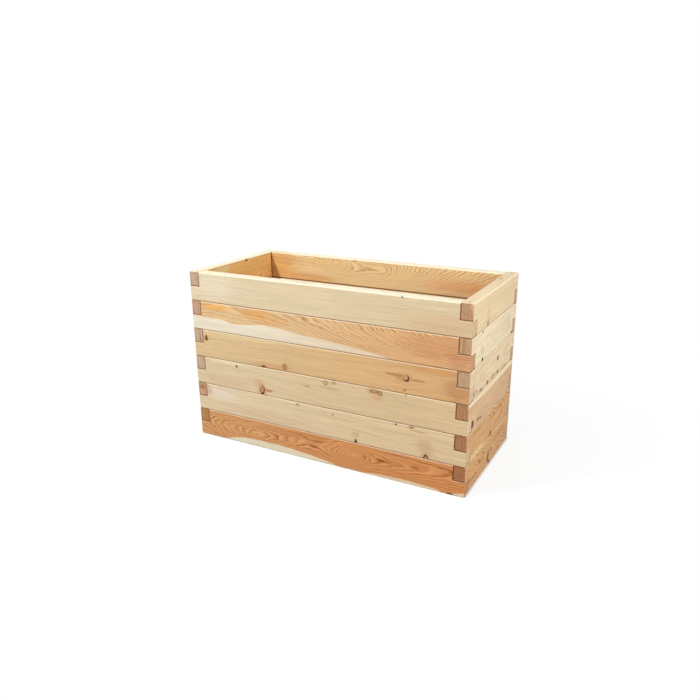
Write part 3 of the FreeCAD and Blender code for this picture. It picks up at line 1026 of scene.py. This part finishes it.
def timber(wall, course, board, seed):
    """The finish of one board: its own log, seen in the board's own frame."""
    low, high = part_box(f"{wall}_board_{course}")
    half_length = max(high.x - low.x, high.y - low.y) / 2 * MM
    turn = math.radians(WALL_TURN[wall])
    material = bpy.data.materials.new(f"timber_{wall}_{course}")
    look = blank_finish(material)
    point, normal = board_frame(look, (low + high) / 2, turn)
    along = look.split(point)[0]

    grain_point = carried_round_knots(look, point, board.knots)
    rings = look.effect("growth rings", {
        "Point": grain_point, "Ring width": board.ring, "Wander": board.wander, "Seed": float(seed),
        "Pith height": line_along(look, along, half_length, board.pith_height),
        "Pith depth": line_along(look, along, half_length, board.pith_depth)})
    fibre = look.effect("fibre", {"Point": grain_point, "Seed": float(seed)})
    ends = look.effect("end grain", {
        "Point": point, "Normal": normal, "Grain": (math.cos(turn), math.sin(turn), 0)})
    edge = look.effect("eased edge", {"Point": point})
    joint = look.effect("joint shade", {
        "Point": point, "Shoulder": half_length + END_INSET - BOARD_THICKNESS - SHOULDER_GAP,
        "Cut side": 1.0 if wall in LONG_WALLS else -1.0, "End face": ends["Share"],
        "Finger share": FINGER_SHARE[wall], "Groove share": GROOVE_SHARE[wall] * float(course > 1),
        "Lid share": LID_SHARE[wall] * float(course < COURSES)})

    colour, tint, share = plain_wood(look, board, along, half_length, grain_point, ends)
    colour = with_stains(look, colour, point, board.stains)
    colour = with_figure(look, colour, tint, share, board, rings, fibre, ends)
    colour, knot_mask = with_knots(look, colour, point, board.knots)
    colour = with_edges_and_joints(look, colour, edge, joint)
    set_surface(look, timber_relief(look, rings, fibre, ends), TIMBER_BUMP, {
        "Base Color": colour, "Roughness": timber_roughness(look, rings, ends, knot_mask),
        "Specular IOR Level": BARE_WOOD_SHINE})
    return material


print("timber finish uses", len(MADE_EFFECTS), "shared effects:", ", ".join(MADE_EFFECTS))

# %% [markdown]
# ## The boards
#
# The frame's meshes already have the eased edges, the half-laps and the drillings. Their sawn edges are
# perfectly sharp, though, and nothing real is. A bevel of half a millimetre breaks them, so that they
# catch a thin line of light. The frame's meshes are split at every crease, so they are welded first.

# %% Break the sawn edges
SAWN_EDGE_BREAK = 0.0005  # metres
WELD_REACH = 0.00002  # metres
SHARP_ANGLE = math.radians(50)


def break_edges(piece):
    """Adds modifiers that weld the mesh, round its sharp edges and smooth its shading."""
    piece.modifiers.new("weld", "WELD").merge_threshold = WELD_REACH
    bevel = piece.modifiers.new("broken_edges", "BEVEL")
    bevel.width = SAWN_EDGE_BREAK
    bevel.segments = 2
    bevel.limit_method = "ANGLE"
    bevel.angle_limit = SHARP_ANGLE
    piece.modifiers.new("shading", "WEIGHTED_NORMAL").keep_sharp = True


def dress(piece, material):
    """Gives a frame node one material on all its faces."""
    piece.data.materials.clear()
    piece.data.materials.append(material)


print("edge break of", SAWN_EDGE_BREAK * MM, "mm")

# %% Dress the four walls
SEEDS_TO_A_WALL = 10

for wall_number, (wall, boards) in enumerate(walls.items()):
    for course, board in boards.items():
        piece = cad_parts[f"{wall}_board_{course}"]
        dress(piece, timber(wall, course, board, seed=SEEDS_TO_A_WALL * wall_number + course))
        break_edges(piece)
    print(wall, "wall dressed")

# %% [markdown]
# ## The corner pins
#
# Only the upper end of each steel rod can be seen, down its hole. Plain drawn bar is grey and a little
# rough, with faint marks along it and a first bloom of rust.

# %% Steel pins
STEEL_GREY, RUST_BROWN = paint("B4B4B2"), paint("8A5A3A")
RUST_CELL, RUST_SPAN = (6, 6, 9), (0.5, 0.72)  # mm
RUST_SHARE = 0.6
BRIGHT_METAL, RUSTED_METAL = 1.0, 0.3
DRAWN_CELL, DRAWN_SPAN, DRAWN_ROUGHNESS = (0.6, 0.6, 60), (0.2, 0.8), (0.3, 0.5)  # mm: marks along the bar
STEEL_BUMP = 0.3

steel = bpy.data.materials.new("drawn_steel")
look = blank_finish(steel)
point = look.vector("MULTIPLY", look.node("ShaderNodeTexCoord").outputs["Object"], (MM,) * 3)
rust = look.ramp(look.cloud(point, RUST_CELL, detail=3.0), *RUST_SPAN)
drawn = look.cloud(point, DRAWN_CELL)
set_surface(look, drawn, STEEL_BUMP, {
    "Base Color": look.mix(look.product(rust, RUST_SHARE), STEEL_GREY, RUST_BROWN),
    "Metallic": look.ramp(rust, 0.0, 1.0, BRIGHT_METAL, RUSTED_METAL),
    "Roughness": look.ramp(drawn, *DRAWN_SPAN, *DRAWN_ROUGHNESS)})
pins = [piece for name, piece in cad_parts.items() if name.startswith("corner_pin")]
for pin in pins:
    dress(pin, steel)
print("steel on", len(pins), "pins")

# %% [markdown]
# ## Floor and sky
#
# The bed is shown on plain white. A floor that is bright enough to look white would throw its light up at
# the boards and wash them out. So the floor is pale to the camera and in reflections, but a dull grey to
# the light that bounces off it. Near the bed a share of real shading keeps a faint shadow, which fades out
# with distance, and inside the bed the floor is shaded in full.

# %% Floor
FLOOR_HALF = 6.0  # metres
FLOOR_DROP = 0.0004  # metres below the bed, so that the two surfaces don't fight
FOOT_WIDTH = 0.01  # metres round the bed, in which its full shading ends
SHADOW_SHARE = 0.12  # of real shading, close to the bed
SHADOW_NEAR, SHADOW_FAR = 0.05, 0.8  # metres from the bed, where the shadow starts to fade and is gone
FLOOR_PALE, FLOOR_DULL = paint("F4F3F0"), paint("7E7C78")


def seen_directly(look):
    """1 for the rays that show the surface itself, by camera, reflection or glass, and 0 for its light."""
    ray = look.node("ShaderNodeLightPath").outputs
    return look.most(ray["Is Camera Ray"], ray["Is Glossy Ray"], ray["Is Transmission Ray"])


corners = [(FLOOR_HALF * x, FLOOR_HALF * y) for x, y in ((-1, -1), (1, -1), (1, 1), (-1, 1))]
floor_mesh = bpy.data.meshes.new("floor")
floor_mesh.from_pydata([(x, y, -FLOOR_DROP) for x, y in corners], [], [(0, 1, 2, 3)])
floor = bpy.data.objects.new("floor", floor_mesh)
bpy.context.scene.collection.objects.link(floor)

floor_material = bpy.data.materials.new("floor")
look = blank_finish(floor_material)
place = look.vector("ABSOLUTE", look.node("ShaderNodeTexCoord").outputs["Object"])
outside = look.vector("MAXIMUM", look.vector("SUBTRACT", place, tuple(cad_box[1])), ORIGIN)
outside = look.vector("LENGTH", outside)
shaded_share = look.most(
    look.fade(outside, 0.0, FOOT_WIDTH), look.ramp(outside, SHADOW_NEAR, SHADOW_FAR, SHADOW_SHARE, 0.0)
)
direct = seen_directly(look)
shaded = look.node("ShaderNodeBsdfDiffuse", {"Color": look.mix(direct, FLOOR_DULL, FLOOR_PALE)})
white = look.node("ShaderNodeEmission", {"Color": WHITE, "Strength": 1.0})
white_share = look.product(direct, look.math("SUBTRACT", 1.0, shaded_share))
surface = look.node("ShaderNodeMixShader", {0: white_share, 1: shaded.outputs[0], 2: white.outputs[0]})
look.node("ShaderNodeOutputMaterial", {"Surface": surface.outputs[0]})
floor.data.materials.append(floor_material)
print("floor", 2 * FLOOR_HALF, "m square")

# %% Sky
SKY_LIGHT = 0.36

world = bpy.data.worlds.new("sky")
look = blank_finish(world)
strength = look.between(seen_directly(look), SKY_LIGHT, 1.0)
sky = look.node("ShaderNodeBackground", {"Color": WHITE, "Strength": strength})
look.node("ShaderNodeOutputWorld", {"Surface": sky.outputs[0]})
bpy.context.scene.world = world
print("sky light", SKY_LIGHT)

# %% [markdown]
# ## Lamps
#
# Three things in the bed say where the light came from: the left board throws a narrow wedge of shadow on
# the inside of the back wall, the front grows darker to the right, and the right wall is nearly as bright
# as the front. So a fairly small key lamp stands high on the left in front, and a large soft one fills in
# from the right. A weak third one behind keeps the back from going flat when the bed is turned round.

# %% Lamps
BED_MIDDLE = Vector((0.0, 0.0, 0.3))  # metres


def lamp(name, place, size, power):
    """A square lamp, turned to face the bed, in metres and watts. It lights, but doesn't show."""
    light = bpy.data.lights.new(name, "AREA")
    light.size = size
    light.energy = power
    holder = bpy.data.objects.new(name, light)
    holder.location = place
    holder.rotation_euler = (BED_MIDDLE - Vector(place)).to_track_quat("-Z", "Y").to_euler()
    holder.visible_camera = False
    bpy.context.scene.collection.objects.link(holder)
    return holder


lamps = [
    lamp("key", (-1.42, -2.10, 2.87), 0.3, 112),
    lamp("fill", (3.2, -0.9, 1.3), 1.6, 88),
    lamp("back_light", (-1.4, 3.4, 1.3), 2.0, 50),
]
print("lamps:", [(holder.name, holder.data.energy) for holder in lamps])

# %% [markdown]
# ## Finish
#
# The colours are shown as they are written, with the plain standard view.

# %% Finish
bpy.context.scene.view_settings.view_transform = "Standard"
